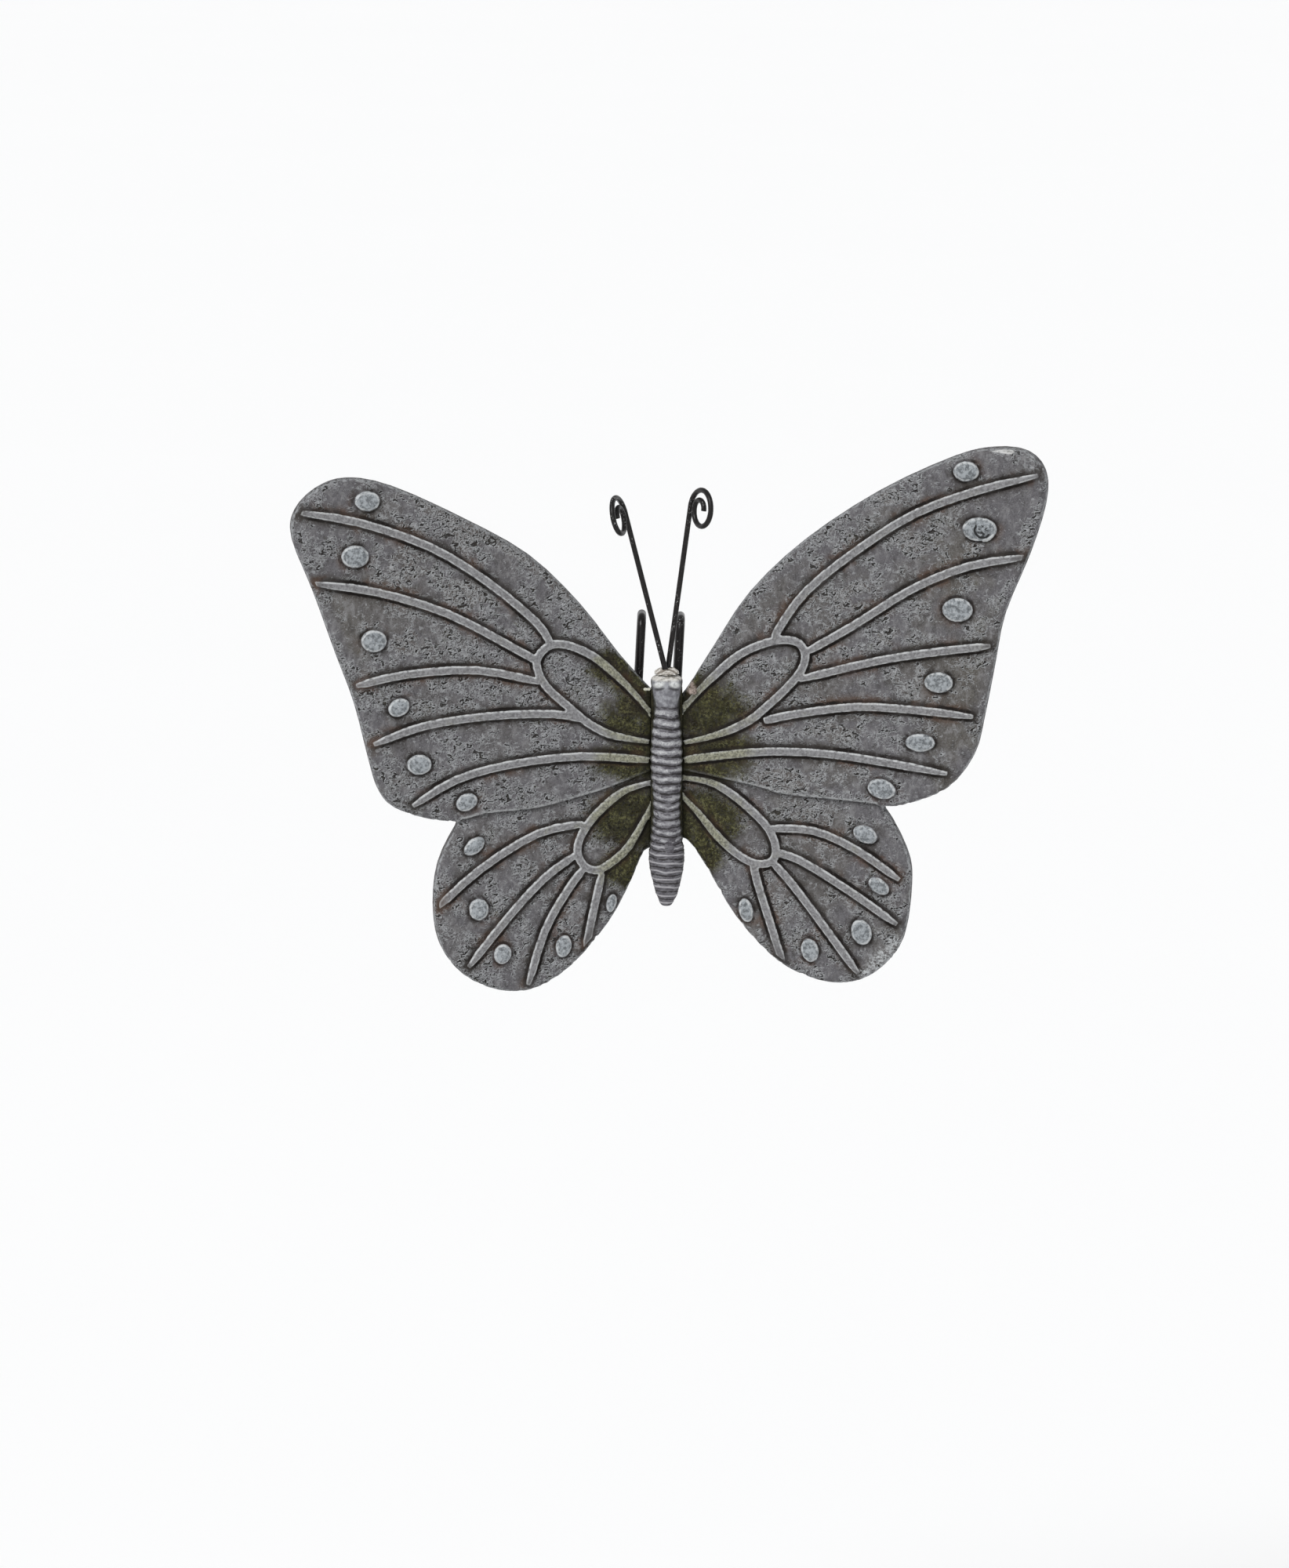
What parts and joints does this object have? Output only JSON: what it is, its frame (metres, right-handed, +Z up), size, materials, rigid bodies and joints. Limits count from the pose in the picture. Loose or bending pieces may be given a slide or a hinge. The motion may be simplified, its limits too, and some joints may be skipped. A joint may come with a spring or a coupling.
{
  "type": "butterfly pot hanger",
  "caption": "Cast stone butterfly with veined, spotted wings and curled wire antennae, hung on a pot's rim by a bent wire hook.",
  "frame": {"origin": "where the hook bears on the pot's rim, midway between its legs: z = 0 is the rim's top and y = 0 the pot's outer face", "axes": "+Z up, -Y to the front, away from the pot, and +X to the viewer's right across the wings"},
  "size_m": [0.2387, 0.0417, 0.1767],
  "materials": {
    "cast_stone": "dark wash in the hollows, light dry-brushed highs, moss near the body",
    "mortar": "rough",
    "steel_rod": "plain drawn",
    "black_wire": "glossy black lacquer",
    "putty": "matte, pressed on by hand",
    "glue": "satin",
    "filler": "matte"
  },
  "bodies": {
    "root": {"left_wing": "cast_stone", "right_wing": "cast_stone", "body": "cast_stone", "left_joint_mortar": "mortar", "right_joint_mortar": "mortar", "upper_tie_pin": "steel_rod", "lower_tie_pin": "steel_rod", "left_antenna": "black_wire", "right_antenna": "black_wire", "antenna_putty": "putty", "left_glue_bead": "glue", "right_filler_lump": "filler", "rim_hook": "black_wire", "back_pad": "mortar"}
  },
  "joints": []
}
